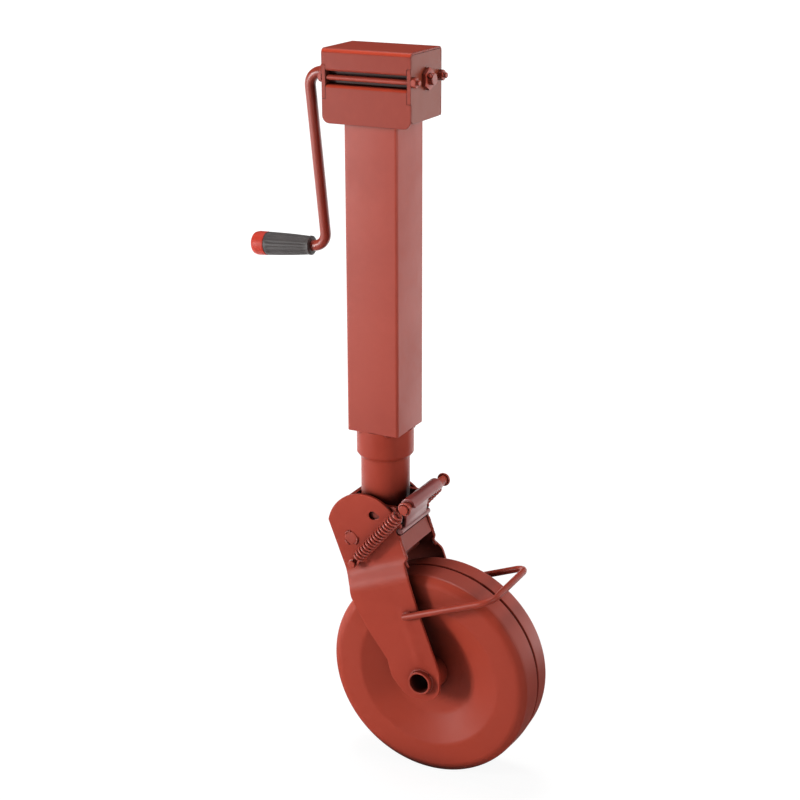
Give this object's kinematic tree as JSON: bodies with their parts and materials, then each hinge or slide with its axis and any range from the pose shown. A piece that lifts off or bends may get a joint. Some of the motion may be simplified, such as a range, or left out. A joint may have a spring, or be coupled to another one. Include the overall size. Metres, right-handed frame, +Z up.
{
  "type": "jockey wheel",
  "caption": "Cranked jockey wheel with a square outer tube, bevel-gear screw lift, swivelling stem and a folding, latched wheel fork.",
  "frame": {"origin": "centre of the square outer tube at its lower end, where the drawbar bracket clamps above it", "axes": "+Z up along the tube; +X along the crank shaft towards the wheel side; +Y along the wheel axle"},
  "size_m": [0.4972, 0.149, 1.0756],
  "materials": {
    "red_paint": "satin oxide-red paint on steel",
    "wheel_red": "satin oxide-red paint on pressed steel",
    "spring_red": "spring wire painted over with the fork",
    "grip_grey": "matt moulded plastic with ribs",
    "cap_red": "moulded plastic, slight gloss",
    "bare_steel": "turned",
    "gear_steel": "cut teeth, oiled",
    "bearing_steel": "ground",
    "bronze": "turned"
  },
  "bodies": {
    "root": {"outer_tube": "red_paint", "guide_bush": "red_paint", "head_base_plate": "red_paint", "side_plate_left": "red_paint", "side_plate_right": "red_paint", "head_cover": "red_paint", "tie_bolts": "red_paint", "tie_nuts": "red_paint", "shaft_sleeve": "red_paint", "shaft_bush": "red_paint", "spindle_bush": "bronze", "thrust_race_upper": "bearing_steel"},
    "crank": {"crank_rod": "red_paint", "crank_pinion": "gear_steel", "pinion_pin": "bare_steel", "end_pin": "red_paint", "grip_washer": "bare_steel"},
    "grip": {"grip_sleeve": "grip_grey", "grip_cap": "cap_red"},
    "spindle": {"spindle": "bare_steel", "spindle_stop": "bare_steel", "spindle_stop_pin": "bare_steel", "crown_gear": "gear_steel", "crown_gear_pin": "bare_steel", "thrust_race_lower": "bearing_steel", "thrust_balls": "bearing_steel", "ball_cage": "bronze"},
    "nut": {"lifting_nut": "bronze", "nut_guide": "bare_steel", "nut_retainer": "bare_steel", "swivel_washer": "bronze"},
    "stem": {"stem_head": "bare_steel", "stem_tube": "red_paint", "knuckle_cheek_near": "red_paint", "knuckle_cheek_far": "red_paint", "knuckle_wall": "red_paint", "knuckle_floor": "red_paint", "pivot_bush": "bare_steel"},
    "fork": {"fork_plate_near": "red_paint", "fork_plate_far": "red_paint", "web_plate": "red_paint", "fork_stop_bar": "red_paint", "fork_pin": "red_paint", "spring_studs": "red_paint", "return_spring_near": "spring_red", "return_spring_far": "spring_red", "foot_bar": "red_paint", "axle_tube": "red_paint", "axle_spacers": "red_paint"},
    "latch": {"latch_plate": "red_paint", "latch_rod": "red_paint"},
    "wheel": {"wheel_half_near": "wheel_red", "wheel_half_far": "wheel_red", "wheel_hub": "wheel_red", "hub_bushes": "bronze"}
  },
  "joints": [
    {"name": "crank_turn", "type": "hinge", "parent": "root", "child": "crank", "pos_m": [0, 0, 0.5073], "axis": [1, 0, 0], "range_deg": [0, 21600]},
    {"name": "grip_spin", "type": "hinge", "parent": "crank", "child": "grip", "pos_m": [-0.1174, 0.04312, 0.24685], "axis": [-0.9977, 0.0111, -0.0671], "continuous": true},
    {"name": "spindle_turn", "type": "hinge", "parent": "root", "child": "spindle", "pos_m": [0, 0, 0.4], "axis": [0, 0, 1], "range_deg": [-14401, 0]},
    {"name": "nut_lift", "type": "slide", "parent": "root", "child": "nut", "axis": [0, 0, -1], "range_m": [0, 0.2401]},
    {"name": "stem_swivel", "type": "hinge", "parent": "nut", "child": "stem", "pos_m": [0, 0, 0], "axis": [0, 0, 1], "continuous": true},
    {"name": "fork_fold", "type": "hinge", "parent": "stem", "child": "fork", "pos_m": [-0.033, 0, -0.167], "axis": [0, 1, 0], "range_deg": [0, 115]},
    {"name": "latch_release", "type": "hinge", "parent": "fork", "child": "latch", "pos_m": [0.047, 0, -0.1425], "axis": [0, 1, 0], "range_deg": [0, 22], "stiffness_Nm_per_rad": 3, "springref_deg": -28.65, "deforming": ["return_spring_near", "return_spring_far"]},
    {"name": "wheel_roll", "type": "hinge", "parent": "fork", "child": "wheel", "pos_m": [0.0898, 0, -0.3682], "axis": [0, 1, 0], "continuous": true}
  ],
  "couplings": [
    {"joint": "spindle_turn", "follows": "crank_turn", "ratio": -0.66667},
    {"joint": "nut_lift", "follows": "crank_turn", "m_per_rad": 0.00063662}
  ]
}
